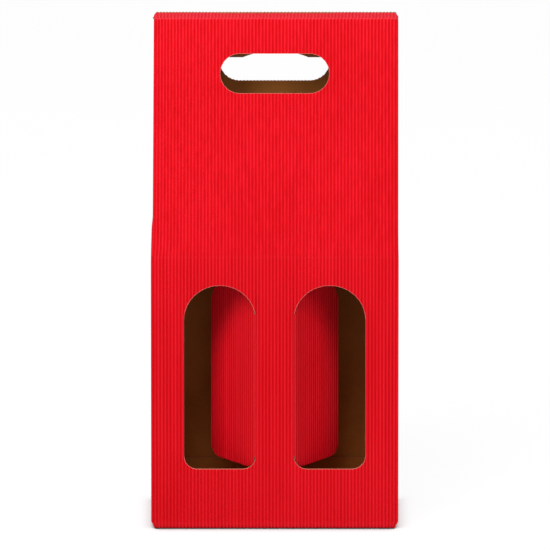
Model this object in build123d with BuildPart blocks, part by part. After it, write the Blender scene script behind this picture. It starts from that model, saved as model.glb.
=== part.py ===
import os
from math import asin, atan2, cos, radians, sin, sqrt, tan

from build123d import *

# Carrying box for two bottles, folded from one sheet of open-wave board, in millimetres.
# The origin is the middle of the base on the ground. +Z is up and the front faces -Y.

# The board: a flat liner inside, with one wave glued on its outer side
liner = 0.7
wave = 0.8
wave_pitch = 2.5
crest_share = 0.36
corner_round = 0.6
board = liner + wave

# The box: upright walls, two leaning gable panels and a narrow ridge on top
width = 182
depth = 90
wall_height = 207
gable_slant = 176.6
ridge_depth = 15.5

# The soft folds round the base, and the notches between them at the corners
fold_rise = 5
fold_run = 2.5
corner_notch = 2.3

# Running gaps
hinge_gap = 0.2
stack_gap = 0.2
flap_gap = 0.3
lid_tuck_gap = 0.9
base_tuck_gap = 0.3
gusset_gap = 0.4

# The two windows, cut so that each swings inward on its edge beside the middle strip
middle_strip = 28
window_width = 52.7
window_height = 139.7
window_low = 46.1
window_corner = 10
flap_angle = 52

# The handle hole, in the front and the back gable panel
handle_width = 80
handle_height = 29
handle_drop = 26.9

# The lid: the ridge strip, and the tuck flap behind it with a recess for the fingers
strip_inset = 1
strip_taper = 1.4
strip_corner = 2.5
lid_tuck_width = 84
lid_tuck_length = 35.5
lid_tuck_corner = 8
recess_width = 48
recess_rise = 6

# The base: the bottom panel, its tuck flap, and the dust flaps of the side walls
base_tuck_width = 164
base_tuck_height = 31
base_tuck_corner = 6
dust_length = 60
dust_front_room = 1.5
dust_back_room = 4.5

# The glued seam: a strip of the back wall that lies inside the right-hand wall
seam_width = 25
seam_thickness = 1.2
seam_room = 7
seam_taper = 6

# Every fold is laid out on the inner face of the board
half_width = width / 2
half_depth = depth / 2
inner_width = half_width - board
inner_depth = half_depth - board
outer_ridge = ridge_depth / 2

# The gable panels lean in by the same angle until only the ridge lies between them
lean_run = half_depth - outer_ridge
gable_rise = sqrt(gable_slant**2 - lean_run**2)
lean = asin(lean_run / gable_slant)
height = wall_height + gable_rise
strip_low = height - board

# The side panels fold inward to a point on the middle plane, with no panel stretched
point_rise = (gable_slant**2 - inner_depth * lean_run) / gable_rise
point_run = sqrt(gable_slant**2 - point_rise**2)
side_lean = asin(point_run / gable_slant)

# The four folds that move, each by its outer and its inner corner, as (y, z)
lid_mitre = board / tan((radians(90) + lean) / 2)
ridge_fold = (-outer_ridge, height)
ridge_fold_inside = (-outer_ridge + lid_mitre, strip_low)
lid_fold = (outer_ridge - board - lid_tuck_gap, height)
lid_fold_inside = (lid_fold[0] - lid_mitre, strip_low)
base_slope = atan2(fold_rise, fold_run)
base_fold = (-half_depth + fold_run, 0)
base_fold_inside = (base_fold[0] + board * tan(base_slope / 2), board)
tuck_fold = (inner_depth - base_tuck_gap, 0)
tuck_fold_inside = (tuck_fold[0] - board, board)

# Inner faces as planes: x across the waves, y along them, z towards the waved side
front_wall = Plane((0, -inner_depth, 0), x_dir=(1, 0, 0), z_dir=(0, -1, 0))
back_wall = Plane((0, inner_depth, 0), x_dir=(-1, 0, 0), z_dir=(0, 1, 0))
front_gable = Plane((0, -inner_depth, wall_height), x_dir=(1, 0, 0), z_dir=(0, -cos(lean), sin(lean)))
back_gable = Plane((0, inner_depth, wall_height), x_dir=(-1, 0, 0), z_dir=(0, cos(lean), sin(lean)))
side_gable = Plane((inner_width, 0, wall_height), x_dir=(0, 1, 0), z_dir=(cos(side_lean), 0, sin(side_lean)))
ridge = Plane((0, 0, strip_low), x_dir=(1, 0, 0), z_dir=(0, 0, 1))
lid_tuck = Plane((0, *lid_fold_inside), x_dir=(-1, 0, 0), z_dir=(0, cos(lean), sin(lean)))
base = Plane((0, 0, board), x_dir=(1, 0, 0), z_dir=(0, 0, -1))
base_tuck = Plane((0, *tuck_fold_inside), x_dir=(-1, 0, 0), z_dir=(0, 1, 0))


def wave_points(half_span):
    """Waved side of the board as (place across, height over the inner face), crest to crest."""
    reach = half_span - corner_round
    count = 2 * round(reach / wave_pitch)
    pitch = 2 * reach / count
    flat = crest_share * pitch / 2
    points = [(-reach, board)]
    for index in range(count):
        crest = -reach + index * pitch
        points += [(crest + flat, board), (crest + pitch / 2, liner), (crest + pitch - flat, board)]
    return points + [(reach, board)]


def flat_outline(*points):
    """A flat face with straight sides."""
    with BuildSketch() as outline:
        with BuildLine():
            Polyline(*points, close=True)
        make_face()
    return outline.sketch


def board_section(half_span):
    """Section across a flat board, with its inner face on the first axis."""
    side = board - corner_round
    corners = [(half_span, side), (half_span, 0), (-half_span, 0), (-half_span, side)]
    return flat_outline(*wave_points(half_span), *corners)


def waved_board(plane, outline, half_span):
    """A flat board with its inner face on the plane, cut to the outline."""
    reach = outline.bounding_box()
    start = plane.origin + plane.y_dir * reach.max.Y
    with BuildPart() as sheet:
        with BuildSketch(Plane(start, x_dir=plane.x_dir, z_dir=-plane.y_dir)):
            add(board_section(half_span))
        extrude(amount=reach.size.Y)
        with BuildSketch(plane):
            add(outline)
        extrude(amount=board, mode=Mode.INTERSECT)
    return sheet.part


def window_outline(side, gap):
    """The window on one side of the middle strip, or with a gap the flap cut from it."""
    radius = window_width / 2
    middle = side * (middle_strip / 2 + radius)
    with BuildSketch() as outline:
        with Locations((middle, window_low)):
            Rectangle(window_width, window_height - radius, align=(Align.CENTER, Align.MIN))
        fillet(outline.vertices().group_by(Axis.Y)[0], window_corner)
        with Locations((middle, window_low + window_height - radius)):
            Circle(radius)
        if gap:
            offset(amount=-gap)
    return outline.sketch


# The right-hand gusset: a tall triangle leaning in, and two narrow ones folded back behind it
foot = Vector(inner_width, -inner_depth, wall_height)
edge = Vector(0, lean_run, gable_rise)
point = Vector(-point_run, inner_depth, point_rise)
fold_back = Plane(foot, x_dir=edge.cross(point.cross(edge)), z_dir=point.cross(edge))
point_place = (point.dot(fold_back.x_dir), point.dot(fold_back.y_dir))

with BuildPart() as gusset:
    with BuildSketch(fold_back):
        nose = board - corner_round
        add(flat_outline((0, 0), point_place, (0, gable_slant), (-nose, gable_slant), (-nose, 0)))
    extrude(amount=board)
    mirror(about=Plane.XZ)
    crease_lap = board * tan(side_lean / 2)
    tall_triangle = flat_outline(
        (-inner_depth, 0), (-inner_depth, -crease_lap), (inner_depth, -crease_lap), (inner_depth, 0), (0, gable_slant)
    )
    add(waved_board(side_gable, tall_triangle, half_depth))
    split(bisect_by=Plane.XY.offset(strip_low - gusset_gap), keep=Keep.BOTTOM)

# The carton: walls, gable panels, gussets, dust flaps and glued seam, all one sheet
with BuildPart() as carton:
    with BuildSketch(Plane.XY.offset(fold_rise)):
        front_side = [(place, -inner_depth - high) for place, high in wave_points(half_width)]
        right_side = [(inner_width + high, place) for place, high in wave_points(half_depth)]
        back_side = [(-x, -y) for x, y in front_side]
        left_side = [(-x, -y) for x, y in right_side]
        add(flat_outline(*front_side, *right_side, *back_side, *left_side))
        Rectangle(2 * inner_width, 2 * inner_depth, mode=Mode.SUBTRACT)
    extrude(amount=wall_height - fold_rise)

    for side in (-1, 1):
        foot_line = (0, side * inner_depth, wall_height)
        with BuildSketch(Plane(foot_line, x_dir=(-side, 0, 0), z_dir=(0, 0, -1))):
            add(board_section(half_width))
        extrude(amount=gable_slant, dir=(0, -side * sin(lean), cos(lean)))

    # The front gable panel ends in the mitre of the ridge fold
    with BuildSketch(Plane.YZ):
        inside_y = ridge_fold_inside[0]
        add(flat_outline(ridge_fold, ridge_fold_inside, (inside_y + board, strip_low), (inside_y + board, height)))
    extrude(amount=half_width, both=True, mode=Mode.SUBTRACT)

    for gable in (front_gable, back_gable):
        with BuildSketch(gable):
            with Locations((0, gable_slant - handle_drop - handle_height / 2)):
                SlotOverall(handle_width, handle_height)
        extrude(amount=board, both=True, mode=Mode.SUBTRACT)

    for side in (-1, 1):
        with BuildSketch(front_wall):
            add(window_outline(side, 0))
        extrude(amount=board, both=True, mode=Mode.SUBTRACT)

    # The back wall stands on its cut edge, which narrows to the notches
    notch_width = half_width - corner_notch
    back_foot = [(-half_width, fold_rise), (half_width, fold_rise), (notch_width, 0), (-notch_width, 0)]
    add(waved_board(back_wall, flat_outline(*back_foot), half_width))

    # The soft fold under the front wall, which the bottom panel hangs on
    fold_top = fold_rise + board * tan((radians(90) - base_slope) / 2)
    with BuildSketch(Plane.YZ):
        add(flat_outline((-half_depth, fold_rise), base_fold, base_fold_inside, (-inner_depth, fold_top)))
    extrude(amount=notch_width, both=True)

    # The dust flaps, folded in over the bottom panel
    dust_low = board + stack_gap
    dust_front = base_fold_inside[0] + dust_front_room
    dust_back = tuck_fold_inside[0] - dust_back_room
    dust_fold_inside = half_width - fold_run - board * tan(base_slope / 2)
    dust_profile = [
        (half_width, fold_rise),
        (half_width - fold_run, dust_low),
        (half_width - dust_length, dust_low),
        (half_width - dust_length, dust_low + board),
        (dust_fold_inside, dust_low + board),
        (inner_width, fold_top),
    ]
    for side in (-1, 1):
        with BuildSketch(Plane.XZ.offset(-dust_back)):
            add(flat_outline(*[(side * x, z) for x, z in dust_profile]))
        extrude(amount=dust_back - dust_front)

    # The glued seam inside the right-hand wall
    seam_front = inner_depth - seam_width
    seam_top = wall_height - seam_room
    with BuildSketch(Plane.YZ.offset(inner_width)):
        seam_free = [(seam_front, seam_top - seam_taper), (seam_front, seam_room + seam_taper)]
        add(flat_outline((inner_depth, seam_room), (inner_depth, seam_top), *seam_free))
    extrude(amount=-seam_thickness)

    add(gusset)
    add(mirror(gusset.part, about=Plane.YZ))

carton.part.label = "carton"
os.makedirs("parts", exist_ok=True)
export_step(carton.part, "parts/carton.step")

# The window flaps, cut from the front wall and folded inward beside the middle strip
for side, name in ((-1, "window_flap_left"), (1, "window_flap_right")):
    hinge_line = Axis((side * middle_strip / 2, -inner_depth, 0), (0, 0, 1))
    flat_flap = waved_board(front_wall, window_outline(side, flap_gap), half_width)
    with BuildPart() as window_flap:
        add(flat_flap.rotate(hinge_line, side * flap_angle))
    window_flap.part.label = name
    export_step(window_flap.part, f"parts/{name}.step")

# The lid: the ridge strip, hinged on the front gable panel
strip_near = half_width - strip_inset
strip_far = strip_near - strip_taper
with BuildSketch() as strip_outline:
    add(flat_outline(
        (-strip_near, ridge_fold[0]), (strip_near, ridge_fold[0]), (strip_far, lid_fold[0]), (-strip_far, lid_fold[0])
    ))
    fillet(strip_outline.vertices().group_by(Axis.Y)[-1], strip_corner)

with BuildPart() as lid_strip:
    add(waved_board(ridge, strip_outline.sketch, half_width))
    with BuildSketch(Plane.YZ):
        near_end = [(ridge_fold[0] + hinge_gap, height), (ridge_fold_inside[0] + hinge_gap, strip_low)]
        add(flat_outline(*near_end, lid_fold_inside, lid_fold))
    extrude(amount=half_width, both=True, mode=Mode.INTERSECT)

lid_strip.part.label = "lid_strip"
export_step(lid_strip.part, "parts/lid_strip.step")

# The lid's tuck flap, inside the back gable panel and between the gussets
with BuildSketch() as lid_tuck_outline:
    with Locations((0, lid_mitre)):
        Rectangle(lid_tuck_width, lid_tuck_length + lid_mitre, align=(Align.CENTER, Align.MAX))
    fillet(lid_tuck_outline.vertices().group_by(Axis.Y)[0], lid_tuck_corner)
    recess_radius = ((recess_width / 2) ** 2 + recess_rise**2) / (2 * recess_rise)
    with Locations((0, recess_rise - lid_tuck_length - recess_radius)):
        Circle(recess_radius, mode=Mode.SUBTRACT)

with BuildPart() as lid_tuck_flap:
    add(waved_board(lid_tuck, lid_tuck_outline.sketch, half_width))
    with BuildSketch(Plane.YZ):
        gap_low = [(lid_fold_inside[0], strip_low - hinge_gap), (lid_fold[0], height - hinge_gap)]
        clear_y = lid_fold_inside[0] - board
        add(flat_outline(*gap_low, (lid_fold[0], height + board), (clear_y, height + board), (clear_y, strip_low)))
    extrude(amount=half_width, both=True, mode=Mode.SUBTRACT)

lid_tuck_flap.part.label = "lid_tuck_flap"
export_step(lid_tuck_flap.part, "parts/lid_tuck_flap.step")

# The bottom panel, hinged on the soft fold under the front wall
with BuildSketch() as bottom_outline:
    with Locations((0, -tuck_fold[0])):
        Rectangle(2 * notch_width, tuck_fold[0] - base_fold[0], align=(Align.CENTER, Align.MIN))

with BuildPart() as bottom_panel:
    add(waved_board(base, bottom_outline.sketch, half_width))
    with BuildSketch(Plane.YZ):
        near_end = [(base_fold[0] + hinge_gap, 0), (base_fold_inside[0] + hinge_gap, board)]
        add(flat_outline(*near_end, tuck_fold_inside, tuck_fold))
    extrude(amount=half_width, both=True, mode=Mode.INTERSECT)

bottom_panel.part.label = "bottom_panel"
export_step(bottom_panel.part, "parts/bottom_panel.step")

# The bottom panel's tuck flap, standing inside the back wall
with BuildSketch() as base_tuck_outline:
    with Locations((0, -board)):
        Rectangle(base_tuck_width, base_tuck_height, align=(Align.CENTER, Align.MIN))
    fillet(base_tuck_outline.vertices().group_by(Axis.Y)[-1], base_tuck_corner)

with BuildPart() as base_tuck_flap:
    add(waved_board(base_tuck, base_tuck_outline.sketch, half_width))
    with BuildSketch(Plane.YZ):
        gap_high = [(tuck_fold[0], hinge_gap), (tuck_fold_inside[0], board + hinge_gap)]
        add(flat_outline(*gap_high, (tuck_fold_inside[0], 0), (tuck_fold[0], 0)))
    extrude(amount=half_width, both=True, mode=Mode.SUBTRACT)

base_tuck_flap.part.label = "base_tuck_flap"
export_step(base_tuck_flap.part, "parts/base_tuck_flap.step")
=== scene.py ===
import random
from collections import namedtuple
from math import asin, cos, exp, floor, pi, radians, sin, sqrt, tan

import bmesh
import bpy
from mathutils import Matrix, Vector
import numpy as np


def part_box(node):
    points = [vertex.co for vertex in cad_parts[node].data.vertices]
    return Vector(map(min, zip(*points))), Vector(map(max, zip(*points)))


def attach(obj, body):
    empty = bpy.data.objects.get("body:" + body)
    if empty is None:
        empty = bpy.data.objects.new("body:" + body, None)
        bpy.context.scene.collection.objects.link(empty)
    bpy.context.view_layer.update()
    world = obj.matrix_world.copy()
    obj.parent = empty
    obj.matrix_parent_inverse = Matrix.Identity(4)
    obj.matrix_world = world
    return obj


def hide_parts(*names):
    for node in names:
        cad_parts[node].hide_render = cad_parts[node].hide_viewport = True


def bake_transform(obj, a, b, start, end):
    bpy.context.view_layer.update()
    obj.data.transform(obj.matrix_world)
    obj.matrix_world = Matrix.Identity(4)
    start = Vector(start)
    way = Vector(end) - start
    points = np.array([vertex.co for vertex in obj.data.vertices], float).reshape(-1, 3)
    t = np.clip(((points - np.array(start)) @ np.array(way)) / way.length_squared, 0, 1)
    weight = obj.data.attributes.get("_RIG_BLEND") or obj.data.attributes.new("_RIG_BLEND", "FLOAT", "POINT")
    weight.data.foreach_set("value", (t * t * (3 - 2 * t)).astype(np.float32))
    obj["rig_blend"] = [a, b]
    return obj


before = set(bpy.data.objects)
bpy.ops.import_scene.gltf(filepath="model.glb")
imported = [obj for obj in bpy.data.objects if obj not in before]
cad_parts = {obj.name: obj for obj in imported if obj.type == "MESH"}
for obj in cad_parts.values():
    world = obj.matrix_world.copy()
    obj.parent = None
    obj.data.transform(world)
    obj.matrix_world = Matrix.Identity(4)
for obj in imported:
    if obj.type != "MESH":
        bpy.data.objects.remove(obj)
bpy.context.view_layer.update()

X, Y, Z = Vector((1, 0, 0)), Vector((0, 1, 0)), Vector((0, 0, 1))

# The whole box, in metres: a wave glued on a flat liner, walls, leaning gables and a narrow ridge
HALF_WIDTH, HALF_DEPTH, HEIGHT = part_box("carton")[1]
BOARD = 0.0015
VALLEY = 0.0007
LINER_PAPER = 0.00045
WAVE_PAPER = 0.00022
PITCH = 0.0025
CORNER = 0.0006
WALL_HEIGHT = 0.207
GABLE_SLANT = 0.1766
OUTER_RIDGE = 0.00775
INNER_WIDTH = HALF_WIDTH - BOARD
INNER_DEPTH = HALF_DEPTH - BOARD
STRIP_LOW = HEIGHT - BOARD

# How far the gables and the gussets lean, as the flat sheet folds
LEAN_RUN = HALF_DEPTH - OUTER_RIDGE
LEAN = asin(LEAN_RUN / GABLE_SLANT)
GABLE_RISE = GABLE_SLANT * cos(LEAN)
POINT_RISE = (GABLE_SLANT**2 - INNER_DEPTH * LEAN_RUN) / GABLE_RISE
POINT_RUN = sqrt(GABLE_SLANT**2 - POINT_RISE**2)
SIDE_LEAN = asin(POINT_RUN / GABLE_SLANT)
RIDGE_REACH = (STRIP_LOW - WALL_HEIGHT) / cos(LEAN)
RIDGE_Y = RIDGE_REACH * sin(LEAN) - INNER_DEPTH

# How far the gable top's side edges draw in: both just above the walls, the left one on up to the ridge
DRAW_RISE = 0.008
RIGHT_DRAW = 0.0003
LEFT_DRAW = 0.0013
LEFT_DRAW_ABOVE = 0.001

# The ridge strip, which tilts up towards the back between its two round folds
STRIP_TILT = radians(3.6)
STRIP_WAY = Vector((0, cos(STRIP_TILT), sin(STRIP_TILT)))
STRIP_TURN = pi / 2 - STRIP_TILT
STRIP_DEPTH = 0.0112
STRIP_INSET = 0.001
STRIP_TAPER = 0.0014
STRIP_CORNER = 0.0025
STRIP_SHIFT = 0.0007
MITRE = BOARD / tan((pi / 2 + LEAN) / 2)
RIDGE_FOLD = Vector((0, RIDGE_Y, STRIP_LOW))
LID_FOLD = RIDGE_FOLD + STRIP_DEPTH * STRIP_WAY

# Where the gussets and the back gable end below the ridge strip, and where the fold-backs start
STRIP_ROOM = 0.0006
BACK_RISE = 0.0002
GUSSET_GAP = 0.0016
BEND_DROP = 0.0004

# The soft folds at the foot, and the notches at its corners
FOLD_RISE = 0.005
FOLD_RUN = 0.0025
NOTCH = 0.0023
NOTCH_REACH = 0.008

# The windows, and the gaps round the flaps cut out of them
WINDOW_NEAR = 0.014
WINDOW_WIDTH = 0.0527
WINDOW_LOW = 0.0461
WINDOW_HEIGHT = 0.1397
WINDOW_CORNER = 0.01
WINDOW_RADIUS = WINDOW_WIDTH / 2
WINDOW_MIDDLE = WINDOW_NEAR + WINDOW_RADIUS
WINDOW_FAR = WINDOW_NEAR + WINDOW_WIDTH
SPRING = WINDOW_LOW + WINDOW_HEIGHT - WINDOW_RADIUS
HINGE_INSET = 0.0004
HINGE_GAP = 0.00006
FLAP_GAP = 0.0003
FLAP_ANGLE = radians(52)

# The handle holes
HANDLE_HALF = 0.04
HANDLE_HEIGHT = 0.029
HANDLE_DROP = 0.0269

# The tuck flaps of the lid and of the base
LID_TUCK_HALF = 0.042
LID_TUCK_LENGTH = 0.0351
LID_TUCK_CORNER = 0.008
RECESS_HALF = 0.024
RECESS_RISE = 0.0052
BASE_TUCK_HALF = 0.082
BASE_TUCK_HEIGHT = 0.031
BASE_TUCK_CORNER = 0.006

# The dust flaps, and the seam inside the right-hand wall
DUST_LENGTH = 0.06
DUST_LOW = 0.0017
DUST_FRONT = -0.0401
DUST_BACK = 0.0372
SEAM_WIDTH = 0.025
SEAM_ROOM = 0.007
SEAM_TAPER = 0.006
SEAM_THICKNESS = 0.0012

# Crushed lines: how wide, how much of the wave is left standing, and how pale the red is on them, partly
# from wear and partly as a painted highlight
CREASE = 0.0012
HINGE_CREASE = 2 * CREASE
CRUSHED = 0.45
WALL_WEAR_AND_SHEEN = 0.1
FLAP_WEAR_AND_SHEEN = 0.5
# The ridge strip and its folds are paled all over, mostly as a painted highlight and painted reflection of
# the light from above
RIDGE_WEAR_AND_SHEEN = 1

# The width of the frayed cut edges
FRAY = 0.00035

# How finely the papers are divided, and what counts as one place and as a sharp edge
FLUTE_STEPS = 8
LINER_STEP = 0.0005
FOLD_BACK_STRIDE = 3
FOOT_STEPS = 6
BEND_STEPS = 8
RIDGE_STEPS = 4
WELD = 1e-6
SHARP = radians(55)

# The order of a paper's materials
BACK_SIDE, CUT_EDGE = 1, 2

# How high each wave stands, because they differ a little
LOWEST_WAVE = 0.9
WAVE_COUNT = 97
random.seed(7)
WAVE_HEIGHTS = [random.uniform(LOWEST_WAVE, 1) for _ in range(WAVE_COUNT)]

Column = namedtuple("Column", "across crest")


def swell(step):
    """How high a wave stands at a step from its crest, from 0 to 1."""
    return 0.5 + 0.5 * cos(2 * pi * step / FLUTE_STEPS)


def flutes(half_span):
    """Columns across a waved panel from crest to crest."""
    reach = half_span - CORNER
    steps = 2 * round(reach / PITCH) * FLUTE_STEPS
    columns = []
    for step in range(steps + 1):
        height = WAVE_HEIGHTS[(step + FLUTE_STEPS // 2) // FLUTE_STEPS % WAVE_COUNT]
        columns.append(Column(reach * (2 * step / steps - 1), swell(step) * height))
    return columns


def plain(half_span):
    """Columns across a flat liner."""
    steps = round(2 * half_span / LINER_STEP)
    return [Column(half_span * (2 * step / steps - 1), 0) for step in range(steps + 1)]


def snapped(columns, edges):
    """The same columns, with the nearest one moved to each edge of an opening."""
    columns = list(columns)
    for edge in edges:
        nearest = min(range(len(columns)), key=lambda index: abs(columns[index].across - edge))
        columns[nearest] = columns[nearest]._replace(across=edge)
    return columns


def between(columns, low, high):
    """The columns from one cut edge to the other."""
    return [column for column in snapped(columns, (low, high)) if low <= column.across <= high]


def level(height):
    """A straight row across a panel."""
    return lambda across: height


def flat(origin, across_way, along_way):
    """A flat surface; the wave rises towards across x along."""
    outward = across_way.cross(along_way)
    return lambda across, along, lift: origin + across * across_way + along * along_way + lift * outward


class Panel:
    """One panel of the folded sheet: places across it, rows along it and the surface that it lies on."""

    def __init__(self, wave_columns, liner_columns, rows, surface, squeeze=None, opening=None, open_row=None,
                 thickness_share=1.0, wear=WALL_WEAR_AND_SHEEN):
        self.wave_columns = wave_columns
        self.liner_columns = liner_columns
        self.rows = rows
        self.surface = surface
        self.squeeze = squeeze or (lambda across, along: 1)
        self.opening = opening or (lambda across: False)
        self.open_row = open_row
        self.thickness_share = thickness_share
        self.wear = wear

    def is_cut(self, across, row):
        """Whether a place on an opening's outline is cut, and not the crease that a flap hangs on."""
        return row - self.open_row in (0, 1) and abs(abs(across) - WINDOW_NEAR) > WELD

    def add_paper(self, mesh, columns, waved):
        """Adds the wave or the liner as a grid that is laid on the surface."""
        across_steps, along_steps = len(columns) - 1, len(self.rows) - 1
        grid = bmesh.ops.create_grid(mesh, x_segments=across_steps, y_segments=along_steps, size=1)
        crest_layer = mesh.verts.layers.float["crest"]
        fold_layer = mesh.verts.layers.float["fold"]
        cut_layer = mesh.verts.layers.float["cut"]
        faces = {face for vert in grid["verts"] for face in vert.link_faces}
        holes = []
        for face in faces:
            middle = face.calc_center_median()
            column = floor((middle.x + 1) / 2 * across_steps)
            across = (columns[column].across + columns[column + 1].across) / 2
            if self.opening(across) and floor((middle.y + 1) / 2 * along_steps) == self.open_row:
                holes.append(face)
        for vert in grid["verts"]:
            across, crest = columns[round((vert.co.x + 1) / 2 * across_steps)]
            row = round((vert.co.y + 1) / 2 * along_steps)
            along = self.rows[row](across)
            squeeze = self.squeeze(across, along)
            lift = (VALLEY + (BOARD - VALLEY) * crest * squeeze) * self.thickness_share if waved else 0
            vert.co = self.surface(across, along, lift)
            vert[crest_layer] = crest
            # How much paler the red is here, partly wear and partly a painted highlight
            vert[fold_layer] = (1 - squeeze) * self.wear
            vert[cut_layer] = self.opening(across) and self.is_cut(across, row)
        if not waved:
            bmesh.ops.reverse_faces(mesh, faces=list(faces))
        bmesh.ops.delete(mesh, geom=holes, context="FACES")


class Shade:
    """A shader socket that adds Math nodes for the sums written with it."""

    tree = None

    def __init__(self, socket):
        self.socket = socket

    @classmethod
    def node(cls, kind, settings=None, inputs=None, output=0):
        """Adds a node, sets it up, fills or links its inputs and gives one output."""
        made = cls.tree.nodes.new(kind)
        for name, value in (settings or {}).items():
            if name == "stops":
                ramp = made.color_ramp
                while len(ramp.elements) < len(value):
                    ramp.elements.new(0.5)
                for element, (place, color) in zip(ramp.elements, value):
                    element.position = place
                    element.color = color
            else:
                setattr(made, name, value)
        for name, value in (inputs or {}).items():
            if isinstance(value, Shade):
                cls.tree.links.new(value.socket, made.inputs[name])
            else:
                made.inputs[name].default_value = value
        return cls(made.outputs[output])

    def maths(self, operation, first, second):
        return self.node("ShaderNodeMath", {"operation": operation}, {0: first, 1: second})

    def __add__(self, other):
        return self.maths("ADD", self, other)

    def __sub__(self, other):
        return self.maths("SUBTRACT", self, other)

    def __rsub__(self, other):
        return self.maths("SUBTRACT", other, self)

    def __mul__(self, other):
        return self.maths("MULTIPLY", self, other)

    __radd__ = __add__
    __rmul__ = __mul__

    def ramp(self, low, high):
        """Goes smoothly from 0 at low to 1 at high."""
        settings = {"interpolation_type": "SMOOTHSTEP"}
        return self.node("ShaderNodeMapRange", settings, {"Value": self, "From Min": low, "From Max": high})

    def mix(self, first, second):
        """Blends two colours by this value."""
        inputs = {"Factor": self, 6: first, 7: second}
        return self.node("ShaderNodeMix", {"data_type": "RGBA", "clamp_factor": True}, inputs, 2)


def new_material(name):
    """A material with a Principled shader, and the shader's node."""
    material = bpy.data.materials.new(name)
    material.use_nodes = True
    Shade.tree = material.node_tree
    return material, material.node_tree.nodes["Principled BSDF"]


def connect(node, name, value):
    """Links a value to a node's named input."""
    Shade.tree.links.new(value.socket, node.inputs[name])


def noise(grain, detail=2.0, roughness=0.5):
    """Noise on the piece, with about this many grains per metre along x, y and z."""
    place = Shade.node("ShaderNodeTexCoord", output="Object")
    scaled = Shade.node("ShaderNodeMapping", {"vector_type": "POINT"}, {"Vector": place, "Scale": grain})
    inputs = {"Vector": scaled, "Scale": 1.0, "Detail": detail, "Roughness": roughness}
    return Shade.node("ShaderNodeTexNoise", {}, inputs)


def attribute(name):
    """A value that the paper's mesh carries."""
    return Shade.node("ShaderNodeAttribute", {"attribute_name": name}, output="Fac")


def bump(height, strength, distance):
    """The normal of a surface raised by a value."""
    return Shade.node("ShaderNodeBump", {}, {"Strength": strength, "Distance": distance, "Height": height})


def red_wave_material():
    """Printed red paper: painted shade in the valleys, painted sheen on the crests, pale along creases and
    cut edges.
    """
    # Valleys darkened as painted shade, crests lightened as a painted sheen; dark and light within each are
    # random tone
    shaded_valley_dark, shaded_valley_light = (0.60, 0.0002, 0.0024, 1), (0.71, 0.0006, 0.0050, 1)
    sheened_crest_dark, sheened_crest_light = (0.79, 0.0070, 0.0185, 1), (0.88, 0.0145, 0.0320, 1)
    # Pale crease colours: partly wear, partly a painted highlight
    worn_sheen_valley, worn_sheen_crest = (0.90, 0.040, 0.070, 1), (1, 0.090, 0.125, 1)
    bare_edge = (0.92, 0.32, 0.27, 1)
    material, shader = new_material("red_wave_paper")
    crest, fold, cut = attribute("crest"), attribute("fold"), attribute("cut")
    flute_tone = noise((400, 400, 6))
    cloud = noise((18, 18, 12), 3.0)
    fibre = noise((2600, 2600, 900), 3.0, 0.6)
    tone = (0.45 * flute_tone + 0.3 * cloud + 0.25 * fibre).ramp(0.35, 0.65)
    height = crest.ramp(0.05, 1.05)
    # Painted shade in the valleys and a painted sheen on the crests, set by the wave's height
    waved = height.mix(tone.mix(shaded_valley_dark, shaded_valley_light), tone.mix(sheened_crest_dark, sheened_crest_light))
    # Paler red along crushed lines, partly wear and partly a painted highlight
    worn_sheen = height.mix(worn_sheen_valley, worn_sheen_crest)
    creased = (fold * 1.2 * fibre.ramp(0.3, 0.7)).mix(waved, worn_sheen)
    frayed = (cut * 0.8 * fibre.ramp(0.15, 0.5)).mix(creased, bare_edge)
    connect(shader, "Base Color", frayed)
    connect(shader, "Roughness", 0.52 + 0.16 * fibre - 0.06 * crest)
    connect(shader, "Normal", bump(fibre, strength=0.35, distance=0.00006))
    shader.inputs["Specular IOR Level"].default_value = 0.08
    return material


def kraft_material(name, dark, light, speck):
    """Unprinted paper with short fibres and a few darker flecks."""
    material, shader = new_material(name)
    fibre = noise((700, 700, 2400), 4.0, 0.6)
    cloud = noise((30, 30, 30), 3.0)
    flecks = noise((1500, 1500, 1500), 1.0)
    base = (0.5 * fibre + 0.5 * cloud).ramp(0.32, 0.68).mix(dark, light)
    connect(shader, "Base Color", (flecks.ramp(0.66, 0.74) * 0.5).mix(base, speck))
    connect(shader, "Roughness", 0.72 + 0.16 * fibre)
    connect(shader, "Normal", bump(fibre, strength=0.4, distance=0.00008))
    shader.inputs["Specular IOR Level"].default_value = 0.25
    return material


RED = red_wave_material()
KRAFT = kraft_material("brown_liner", (0.42, 0.148, 0.028, 1), (0.54, 0.202, 0.044, 1),
                       (0.20, 0.055, 0.014, 1))
WAVE_BACK = kraft_material("wave_back", (0.24, 0.06, 0.022, 1), (0.33, 0.09, 0.03, 1),
                           (0.12, 0.03, 0.010, 1))
RED_EDGE = kraft_material("cut_edge_red", (0.72, 0.16, 0.13, 1), (0.88, 0.32, 0.26, 1),
                          (0.55, 0.08, 0.07, 1))
LINER_EDGE = kraft_material("cut_edge_liner", (0.55, 0.16, 0.11, 1), (0.70, 0.26, 0.19, 1),
                            (0.40, 0.10, 0.06, 1))


def add_object(name, data):
    """A new object in the scene."""
    made = bpy.data.objects.new(name, data)
    bpy.context.scene.collection.objects.link(made)
    return made


def add_mesh(name, mesh, materials):
    """The mesh as an object with its materials."""
    data = bpy.data.meshes.new(name)
    mesh.to_mesh(data)
    mesh.free()
    for material in materials:
        data.materials.append(material)
    return add_object(name, data)


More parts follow.
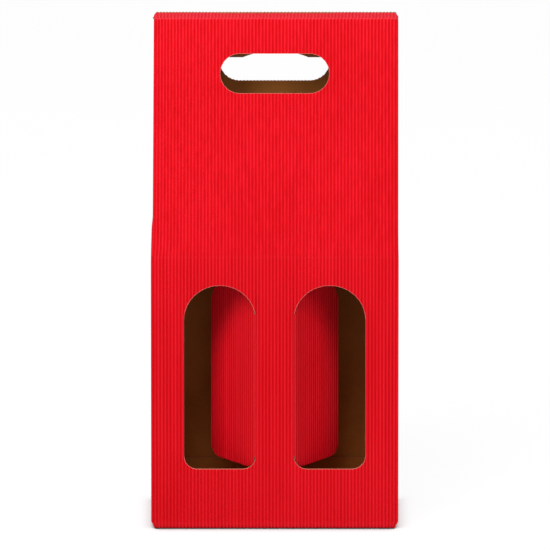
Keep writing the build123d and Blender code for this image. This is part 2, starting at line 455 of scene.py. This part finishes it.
def paper(name, panels, waved):
    """The wave or the liner of some panels as one piece, with its thickness and its cut edges."""
    mesh = bmesh.new()
    for layer in ("crest", "fold", "cut"):
        mesh.verts.layers.float.new(layer)
    for panel in panels:
        columns = panel.wave_columns if waved else panel.liner_columns
        if columns:
            panel.add_paper(mesh, columns, waved)
    bmesh.ops.remove_doubles(mesh, verts=mesh.verts, dist=WELD)
    bmesh.ops.dissolve_degenerate(mesh, edges=mesh.edges, dist=WELD)
    front = set(mesh.faces)
    bmesh.ops.solidify(mesh, geom=list(front), thickness=WAVE_PAPER if waved else LINER_PAPER)
    for face in mesh.faces:
        face.smooth = True
        if face not in front:
            beside = any(other in front for edge in face.edges for other in edge.link_faces)
            face.material_index = CUT_EDGE if beside else BACK_SIDE
    piece = add_mesh(name, mesh, (RED, WAVE_BACK, RED_EDGE) if waved else (KRAFT, KRAFT, LINER_EDGE))
    piece.data.set_sharp_from_angle(angle=SHARP)
    return piece


def make_board(node, panels):
    """Both papers of a part of the sheet, in place of its CAD node and moving as it does."""
    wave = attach(paper(node + "_wave", panels, True), node)
    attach(paper(node + "_liner", panels, False), node)
    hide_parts(node)


def rounding(inset, radius):
    """How far a round corner stands back at a distance from the straight side."""
    short = max(radius - inset, 0)
    return radius - sqrt(max(radius**2 - short**2, 0))


def in_window(across):
    return WINDOW_NEAR <= abs(across) <= WINDOW_FAR


def in_handle(across):
    return abs(across) <= HANDLE_HALF


def window_bottom(across, gap=0):
    """The height of a window's lower edge, or of an outline inside it by a gap."""
    inset = min(abs(across) - WINDOW_NEAR, WINDOW_FAR - abs(across)) - gap
    return WINDOW_LOW + gap + rounding(max(inset, 0), WINDOW_CORNER - gap)


def window_top(across, gap=0):
    """The height of a window's arch, or of an outline inside it by a gap."""
    radius = WINDOW_RADIUS - gap
    hinge_inset = HINGE_INSET if abs(across) < WINDOW_MIDDLE else 0
    place = min(abs(abs(across) - WINDOW_MIDDLE), radius - hinge_inset)
    return SPRING + sqrt(radius**2 - place**2)


def handle_edge(side, gap=0):
    """The handle hole's lower or upper edge, along the gable."""
    middle = GABLE_SLANT - HANDLE_DROP - HANDLE_HEIGHT / 2
    radius = HANDLE_HEIGHT / 2 - gap

    def row(across):
        past = min(max(abs(across) - (HANDLE_HALF - HANDLE_HEIGHT / 2), 0), radius)
        return middle + side * sqrt(radius**2 - past**2)

    return row


def standing(near, width):
    """How much of the wave is left standing at a distance from a crushed line."""
    return CRUSHED + (1 - CRUSHED) * min(near / width, 1)


def crushed(across, along):
    """A wave that is crushed all over."""
    return CRUSHED


def crease_at(*places):
    """A wave that is crushed at some places along a panel."""
    return lambda across, along: standing(min(abs(along - place) for place in places), CREASE)


WINDOW_EDGES = (-WINDOW_FAR, -WINDOW_NEAR, WINDOW_NEAR, WINDOW_FAR)
HANDLE_EDGES = (-HANDLE_HALF, HANDLE_HALF)
ALL_EDGES = (-INNER_WIDTH,) + WINDOW_EDGES + HANDLE_EDGES + (INNER_WIDTH,)
FRONT_FLUTES = snapped(flutes(HALF_WIDTH), ALL_EDGES)
SIDE_FLUTES = flutes(HALF_DEPTH)
FRONT_LINER = snapped(plain(INNER_WIDTH), WINDOW_EDGES + HANDLE_EDGES)
SIDE_LINER = plain(INNER_DEPTH)


def crest_at(edge):
    """How high the front's wave stands at an edge that a column was moved to."""
    return next(column.crest for column in FRONT_FLUTES if column.across == edge)


def front_width_panel(low, high, rows, surface, squeeze, **more):
    """A panel whose waves run on from the front's, from one cut edge to the other."""
    return Panel(between(FRONT_FLUTES, low, high), between(FRONT_LINER, low, high), rows, surface, squeeze,
                 **more)


def wall_rows(edges):
    """The rows up a wall, with the given ones round its windows."""
    foot_rows = [level(FOLD_RISE), level(FOLD_RISE + CREASE)]
    top_rows = [level(WALL_HEIGHT - CREASE), level(WALL_HEIGHT)]
    return foot_rows + edges + top_rows


# The rows up the walls, the gables and the soft folds, and which row of faces an opening takes away
WINDOW_ROWS = wall_rows([lambda across: window_bottom(across, -FRAY), window_bottom,
                         window_top, lambda across: window_top(across, -FRAY)])
WINDOW_ROW = WINDOW_ROWS.index(window_bottom)
PLAIN_ROWS = wall_rows([level(window_bottom(WINDOW_NEAR))] * 2 + [level(window_top(WINDOW_NEAR))] * 2)
GABLE_FOOT = (0, CREASE, 0.004, 0.009, 0.018, 0.035, 0.07)
GABLE_FOOT_ROWS = [level(place) for place in GABLE_FOOT]
HANDLE_ROWS = [handle_edge(-1, -FRAY), handle_edge(-1), handle_edge(1), handle_edge(1, -FRAY)]
HANDLE_ROW = len(GABLE_FOOT_ROWS) + 1
FOOT_TURN_ROWS = [level(step / FOOT_STEPS) for step in range(FOOT_STEPS + 1)]


def wall_panels():
    """The four upright walls and the round corners between them."""
    squeeze = crease_at(FOLD_RISE, WALL_HEIGHT)

    def hinge_squeeze(across, along):
        beside = abs(abs(across) - WINDOW_NEAR)
        upright = WINDOW_LOW < along < window_top(WINDOW_NEAR) + WELD
        return min(squeeze(across, along), standing(beside, HINGE_CREASE) if upright else 1)

    front = flat(Vector((0, -INNER_DEPTH, 0)), X, Z)
    back = flat(Vector((0, INNER_DEPTH, 0)), -X, Z)
    right = flat(Vector((INNER_WIDTH, 0, 0)), Y, Z)
    left = flat(Vector((-INNER_WIDTH, 0, 0)), -Y, Z)
    panels = [
        Panel(FRONT_FLUTES, FRONT_LINER, WINDOW_ROWS, front, hinge_squeeze, in_window, WINDOW_ROW),
        Panel(FRONT_FLUTES, FRONT_LINER, PLAIN_ROWS, back, squeeze),
        Panel(SIDE_FLUTES, SIDE_LINER, PLAIN_ROWS, right, squeeze),
        Panel(SIDE_FLUTES, SIDE_LINER, PLAIN_ROWS, left, squeeze),
    ]
    for index, (side_x, side_y) in enumerate(((1, -1), (1, 1), (-1, 1), (-1, -1))):
        middle = Vector((side_x * (HALF_WIDTH - CORNER), side_y * (HALF_DEPTH - CORNER), 0))
        start = Matrix.Rotation(index * pi / 2, 3, "Z") @ -Y

        def corner(across, along, lift, middle=middle, start=start):
            way = Matrix.Rotation(across, 3, "Z") @ start
            return middle + (CORNER - BOARD + lift) * way + along * Z

        turn = [Column(radians(angle), 1) for angle in (0, 30, 60, 90)]
        panels.append(Panel(turn, None, PLAIN_ROWS, corner, squeeze))
    return panels


def drawn_in(across, height):
    """The place across at a height, as the gable top's side edges draw in, the left one more."""
    rise = max(height - WALL_HEIGHT, 0)
    soft = 1 - exp(-rise / DRAW_RISE)
    inset = RIGHT_DRAW * soft if across > 0 else LEFT_DRAW * soft + LEFT_DRAW_ABOVE * rise / GABLE_RISE
    return across * (1 - inset / HALF_WIDTH * (across / HALF_WIDTH) ** 4)


def nipped(surface):
    """The same surface, drawn in from the side edges."""

    def place(across, along, lift):
        point = surface(across, along, lift)
        return Vector((drawn_in(point.x, point.z), point.y, point.z))

    return place


def gable_surface(side):
    """The leaning gable, with the soft crease at its foot."""

    def surface(across, along, lift):
        tilt = LEAN * min(along / CREASE, 1)
        inner_y = side * (INNER_DEPTH - along * sin(LEAN))
        inner = Vector((-side * across, inner_y, WALL_HEIGHT + along * cos(LEAN)))
        return inner + lift * Vector((0, side * cos(tilt), sin(tilt)))

    return nipped(surface)


def gable_panels():
    """The front gable up to the ridge fold and the back gable up to its free edge, with handle holes."""
    columns = between(FRONT_FLUTES, -INNER_WIDTH, INNER_WIDTH)
    panels = []
    for side, top in ((-1, RIDGE_REACH), (1, GABLE_SLANT + BACK_RISE)):
        rows = GABLE_FOOT_ROWS + HANDLE_ROWS + [level(top - CREASE), level(top)]
        squeeze = crease_at(0, top) if side < 0 else crease_at(0)
        panels.append(Panel(columns, FRONT_LINER, rows, gable_surface(side), squeeze, in_handle, HANDLE_ROW))
    return panels


def foot_panels():
    """The soft fold under the front wall, and the foot of the back wall."""
    centre_y = -HALF_DEPTH + FOLD_RUN

    def notched(across, share):
        past = min(max((abs(across) - (HALF_WIDTH - NOTCH_REACH)) / NOTCH_REACH, 0), 1)
        return across * (1 - NOTCH / HALF_WIDTH * share * past * past * (3 - 2 * past))

    def front(across, along, lift):
        ahead, down = FOLD_RUN - BOARD + lift, FOLD_RISE - BOARD + lift
        turn = (1 - along) * pi / 2
        place = notched(across, sin(turn))
        return Vector((place, centre_y - ahead * cos(turn), FOLD_RISE - down * sin(turn)))

    def back(across, along, lift):
        return Vector((-notched(across, 1 - along), INNER_DEPTH + lift, along * FOLD_RISE))

    return [Panel(FRONT_FLUTES, FRONT_LINER, FOOT_TURN_ROWS, front, crushed),
            Panel(FRONT_FLUTES, FRONT_LINER, [level(0), level(0.5), level(1)], back, crushed)]


def dust_panel(side):
    """A dust flap, folded in over the bottom panel, with its soft fold."""

    def surface(across, along, lift):
        if along < 0:
            return Vector((side * (HALF_WIDTH - FOLD_RUN + along), side * across, DUST_LOW + BOARD - lift))
        ahead, down = FOLD_RUN - BOARD + lift, FOLD_RISE - DUST_LOW - BOARD + lift
        turn = (1 - along) * pi / 2
        reach = HALF_WIDTH - FOLD_RUN + ahead * cos(turn)
        return Vector((side * reach, side * across, FOLD_RISE - down * sin(turn)))

    low, high = (DUST_FRONT, DUST_BACK) if side > 0 else (-DUST_BACK, -DUST_FRONT)
    rows = [level(-DUST_LENGTH + FOLD_RUN), level(-CREASE)] + FOOT_TURN_ROWS
    return Panel(between(SIDE_FLUTES, low, high), between(SIDE_LINER, low, high), rows, surface,
                 lambda across, along: CRUSHED if along > -CREASE else 1)


def tall_triangle(side):
    """The middle part of a gusset, which leans in from the side wall."""
    up = Vector((-side * sin(SIDE_LEAN), 0, cos(SIDE_LEAN)))
    surface = flat(Vector((side * INNER_WIDTH, 0, WALL_HEIGHT)), side * Y, up)
    limit = (STRIP_LOW - STRIP_ROOM - WALL_HEIGHT) / cos(SIDE_LEAN)

    def slope(across):
        return min(GABLE_SLANT * (1 - abs(across) / INNER_DEPTH), limit)

    rows = [lambda across, place=place: min(place, slope(across)) for place in GABLE_FOOT] + [slope]
    columns = between(SIDE_FLUTES, -INNER_DEPTH, INNER_DEPTH)
    return Panel(columns, SIDE_LINER, rows, nipped(surface), crease_at(0))


def fold_back_panels(side, end):
    """The narrow triangle behind a gable's edge, and the round fold that joins the two."""
    foot = Vector((side * INNER_WIDTH, end * INNER_DEPTH, WALL_HEIGHT))
    edge = Vector((0, -end * LEAN_RUN, GABLE_RISE)).normalized()
    point = Vector((-side * POINT_RUN, -end * INNER_DEPTH, POINT_RISE))
    inward = point - point.dot(edge) * edge
    reach = inward.length
    hand = -side * end
    inward.normalize()
    outward = hand * inward.cross(edge)
    gable_way = Vector((0, end * edge.z, abs(edge.y)))
    turn = gable_way.angle(outward)
    swing = turn if (Matrix.Rotation(turn, 3, edge) @ gable_way - outward).length < WELD else -turn
    top = STRIP_LOW - STRIP_ROOM - WALL_HEIGHT - BOARD * max(outward.z, 0)

    def high(across):
        return (top - abs(across) * inward.z) / edge.z

    def low(across):
        return min(max(GABLE_SLANT * abs(across) / reach, GUSSET_GAP), high(across) - WELD)

    def fold(across, along, lift):
        way = Matrix.Rotation(across, 3, edge) @ gable_way
        return foot + along * edge + lift * way

    steps = round(reach / PITCH * FLUTE_STEPS)
    wave = [Column(hand * reach * step / steps, 1 - swell(step)) for step in range(steps)]
    liner = [column._replace(crest=0) for column in wave[::FOLD_BACK_STRIDE]]
    edge_crest = crest_at(INNER_WIDTH)
    shares = [step / BEND_STEPS for step in range(BEND_STEPS + 1)]
    bend = [Column(swing * share, max(sin(pi * share), edge_crest * (1 - 2 * share))) for share in shares]
    bend_rows = GABLE_FOOT_ROWS + [level(top / edge.z - BEND_DROP)]
    return [Panel(sorted(wave), sorted(liner), [low, high], nipped(flat(foot, hand * inward, edge))),
            Panel(sorted(bend), None, bend_rows, nipped(fold))]


def gusset_panels():
    """On each side a tall triangle leaning in, and two narrow ones folded back behind the gables."""
    panels = [tall_triangle(side) for side in (-1, 1)]
    for side in (-1, 1):
        for end in (-1, 1):
            panels += fold_back_panels(side, end)
    return panels


def seam_panel():
    """The strip of the back wall that is glued inside the right-hand wall."""
    surface = flat(Vector((INNER_WIDTH - SEAM_THICKNESS, 0, 0)), Y, Z)
    front = INNER_DEPTH - SEAM_WIDTH

    def low(across):
        return SEAM_ROOM + SEAM_TAPER * (INNER_DEPTH - across) / SEAM_WIDTH

    def high(across):
        return WALL_HEIGHT - low(across)

    wave, liner = between(SIDE_FLUTES, front, INNER_DEPTH), between(SIDE_LINER, front, INNER_DEPTH)
    return Panel(wave, liner, [low, high], surface, thickness_share=SEAM_THICKNESS / BOARD)


def window_flap_panels(side):
    """A window's cut-out, folded inward on its edge beside the middle strip, and the round fold there."""
    hinge = Vector((side * WINDOW_NEAR, -INNER_DEPTH, 0))
    turn = Matrix.Rotation(side * FLAP_ANGLE, 3, "Z")
    near, far = WINDOW_NEAR, WINDOW_FAR - FLAP_GAP
    low, high = (near, far) if side > 0 else (-far, -near)
    clear = side * HINGE_GAP

    def surface(across, along, lift):
        place = Vector((across, -INNER_DEPTH - lift, along))
        return hinge + turn @ (place - hinge)

    def fold(across, along, lift):
        return hinge + lift * Vector((sin(across), -cos(across), 0)) + along * Z

    def squeeze(across, along):
        return standing(abs(across) - near, HINGE_CREASE)

    liner = between(FRONT_LINER, max(low + clear, low), min(high + clear, high))
    rows = [lambda across: window_bottom(across, FLAP_GAP), lambda across: window_top(across, FLAP_GAP)]
    bend = [Column(FLAP_ANGLE * (2 * step / BEND_STEPS - 1), crest_at(side * near))
            for step in range(BEND_STEPS + 1)]
    bend_rows = [level(row(near)) for row in rows]
    # The hinge crease is paled, partly wear and partly a painted highlight
    return [Panel(between(FRONT_FLUTES, low, high), liner, rows, surface, squeeze, wear=FLAP_WEAR_AND_SHEEN),
            Panel(bend, None, bend_rows, fold, crushed, wear=FLAP_WEAR_AND_SHEEN)]


def ridge_fold_panel(low, high, half, place, middle=RIDGE_FOLD):
    """The round fold before or behind the ridge strip, from one angle to another."""

    def surface(across, along, lift):
        return Vector((place(across, along), middle.y - lift * cos(along), middle.z + lift * sin(along)))

    rows = [level(low + (high - low) * step / RIDGE_STEPS) for step in range(RIDGE_STEPS + 1)]
    return Panel(between(FRONT_FLUTES, -half, half), None, rows, surface, crushed, wear=RIDGE_WEAR_AND_SHEEN)


def lid_strip_panels():
    """The ridge strip, crushed a little flat, and the round fold between it and the tuck flap."""
    half = HALF_WIDTH - STRIP_INSET

    def far_edge(across):
        past = half - abs(across)
        far = STRIP_DEPTH if abs(across) < LID_TUCK_HALF + WELD else STRIP_DEPTH + MITRE
        corner = rounding(past - STRIP_TAPER, STRIP_CORNER) if past > STRIP_TAPER else 0
        return max(far * min(past / STRIP_TAPER, 1) - corner, CREASE)

    def place(across, along):
        return across + STRIP_SHIFT

    rows = [level(0), level(CREASE), lambda across: max(far_edge(across) - CREASE, CREASE), far_edge]
    surface = flat(RIDGE_FOLD + STRIP_SHIFT * X, X, STRIP_WAY)
    # The strip and its far fold are paled as a painted highlight and painted reflection
    return [front_width_panel(-half, half, rows, surface, crushed, wear=RIDGE_WEAR_AND_SHEEN),
            ridge_fold_panel(STRIP_TURN, pi - LEAN, LID_TUCK_HALF, place, LID_FOLD)]


def lid_tuck_panel():
    """The lid's tuck flap, parallel to the back gable, with a finger recess in its free edge."""
    up = Vector((0, -sin(LEAN), cos(LEAN)))
    surface = flat(LID_FOLD + STRIP_SHIFT * X, -X, up)
    radius = (RECESS_HALF**2 + RECESS_RISE**2) / (2 * RECESS_RISE)

    def low(across):
        edge = -LID_TUCK_LENGTH + rounding(LID_TUCK_HALF - abs(across), LID_TUCK_CORNER)
        if abs(across) < RECESS_HALF:
            edge += sqrt(radius**2 - across**2) - (radius - RECESS_RISE)
        return edge

    rows = [low, level(-CREASE), level(0)]
    return front_width_panel(-LID_TUCK_HALF, LID_TUCK_HALF, rows, surface, crease_at(0))


def bottom_panel():
    """The bottom panel between the soft fold and its tuck flap."""
    low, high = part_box("bottom_panel")
    surface = flat(Vector((0, 0, BOARD)), X, -Y)
    rows = [level(-high.y), level(-high.y + CREASE), level(-low.y - CREASE), level(-low.y)]
    return front_width_panel(low.x, high.x, rows, surface, crease_at(-low.y, -high.y))


def base_tuck_panel():
    """The bottom panel's tuck flap, standing inside the back wall."""
    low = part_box("base_tuck_flap")[0]
    surface = flat(Vector((0, low.y, 0)), -X, Z)

    def top(across):
        return BASE_TUCK_HEIGHT - rounding(BASE_TUCK_HALF - abs(across), BASE_TUCK_CORNER)

    rows = [level(low.z), level(low.z + CREASE), top]
    return front_width_panel(-BASE_TUCK_HALF, BASE_TUCK_HALF, rows, surface, crease_at(low.z))


def make_ridge_fold():
    """The round fold between the front gable and the ridge strip, which bends as the lid opens."""

    def place(across, along):
        share = (along - LEAN) / (STRIP_TURN - LEAN)
        return drawn_in(across, STRIP_LOW) * (1 - share) + (across + STRIP_SHIFT) * share

    fold = paper("ridge_fold_wave", [ridge_fold_panel(LEAN, STRIP_TURN, INNER_WIDTH, place)], True)
    foot = RIDGE_FOLD + VALLEY * Vector((0, -cos(LEAN), sin(LEAN)))
    top = RIDGE_FOLD + VALLEY * Vector((0, -cos(STRIP_TURN), sin(STRIP_TURN)))
    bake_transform(fold, "carton", "lid_strip", start=foot, end=top)


def make_box():
    """The folded sheet, one part for each node."""
    carton = wall_panels() + gable_panels() + foot_panels() + [dust_panel(-1), dust_panel(1)]
    make_board("carton", carton + gusset_panels() + [seam_panel()])
    make_board("window_flap_left", window_flap_panels(-1))
    make_board("window_flap_right", window_flap_panels(1))
    make_board("lid_strip", lid_strip_panels())
    make_ridge_fold()
    make_board("lid_tuck_flap", [lid_tuck_panel()])
    make_board("bottom_panel", [bottom_panel()])
    make_board("base_tuck_flap", [base_tuck_panel()])


# The stage: a pale floor, a white surround for the camera, and soft lamps
WHITE = (1, 1, 1, 1)
FLOOR_GREY = (0.6, 0.6, 0.6, 1)
FLOOR_RADIUS = 4
FLOOR_SEGMENTS = 96
FLOOR_GLOW = 1.13
GLOW_SHARE = 0.82
CONTACT_REACH = 0.014
CONTACT_SAMPLES = 8
# The floor's glow is darkened near the box as a painted contact shadow, and tinted pink there as a painted
# red reflection
PAINTED_SHADOW_STOPS = (
    (0.26, (0.01, 0.005, 0.005, 1)),
    (0.44, (0.32, 0.27, 0.27, 1)),
    (0.54, (0.93, 0.85, 0.86, 1)),
    (0.75, (0.94, 0.92, 0.93, 1)),
    (0.95, WHITE),
)
WORLD_LIGHT = 0.27
LAMP_AIM = Vector((0, 0, 0.2))


def floor_material():
    """Pale floor that the camera sees as white, but for the shadow close to the box, painted into its glow
    from occlusion, with a faint painted red reflection.
    """
    material, shader = new_material("pale_floor")
    nodes = material.node_tree.nodes
    nodes.remove(shader)
    paint = Shade.node("ShaderNodeBsdfDiffuse", {}, {"Color": FLOOR_GREY})
    contact = Shade.node("ShaderNodeAmbientOcclusion", {"samples": CONTACT_SAMPLES},
                         {"Distance": CONTACT_REACH}, "AO")
    # Painted contact shadow and painted red reflection in the glow
    painted_shadow_tint = Shade.node("ShaderNodeValToRGB", {"stops": PAINTED_SHADOW_STOPS}, {"Fac": contact})
    glow = Shade.node("ShaderNodeEmission", {}, {"Color": painted_shadow_tint, "Strength": FLOOR_GLOW})
    seen = Shade.node("ShaderNodeLightPath", output="Is Camera Ray")
    blend = Shade.node("ShaderNodeMixShader", {}, {0: GLOW_SHARE * seen, 1: paint, 2: glow})
    connect(nodes["Material Output"], "Surface", blend)
    return material


def make_floor():
    mesh = bmesh.new()
    bmesh.ops.create_circle(mesh, cap_ends=True, segments=FLOOR_SEGMENTS, radius=FLOOR_RADIUS)
    add_mesh("floor", mesh, [floor_material()])


def make_world():
    """Even pale light all round, seen by the camera as white."""
    world = bpy.data.worlds.new("studio")
    bpy.context.scene.world = world
    world.use_nodes = True
    Shade.tree = world.node_tree
    seen = Shade.node("ShaderNodeLightPath", output="Is Camera Ray")
    strength = WORLD_LIGHT + (1 - WORLD_LIGHT) * seen
    light = Shade.node("ShaderNodeBackground", {}, {"Color": WHITE, "Strength": strength})
    connect(world.node_tree.nodes["World Output"], "Surface", light)


def make_lamp(name, place, size, power):
    """A round soft lamp, aimed at the box."""
    data = bpy.data.lights.new(name, "AREA")
    data.shape = "DISK"
    data.size = size
    data.energy = power
    lamp = add_object(name, data)
    lamp.location = place
    lamp.rotation_euler = (LAMP_AIM - lamp.location).to_track_quat("-Z", "Y").to_euler()


def make_camera():
    """Seen from the front and 15 degrees above, from far away."""
    pitch, distance = radians(15), 14.0
    sensor, picture_width, pixels_per_metre = 36.0, 550, 1362.2
    aim = Vector((0.0002, -HALF_DEPTH, 0.1941))
    data = bpy.data.cameras.new("camera")
    data.sensor_width = sensor
    data.lens = sensor * distance * pixels_per_metre / picture_width
    data.clip_end = 50
    camera = add_object("camera", data)
    camera.location = aim + distance * Vector((0, -cos(pitch), sin(pitch)))
    camera.rotation_euler = (pi / 2 - pitch, 0, 0)
    bpy.context.scene.camera = camera


make_camera()
make_box()
make_floor()
make_world()
make_lamp("top", place=(-0.3, -1.5, 2.6), size=1.2, power=38)
make_lamp("key", place=(-1.3, -1.7, 1.9), size=1.1, power=29)
make_lamp("fill", place=(1.4, -1.7, 1.7), size=1.1, power=14)
bpy.context.scene.view_settings.view_transform = "Standard"
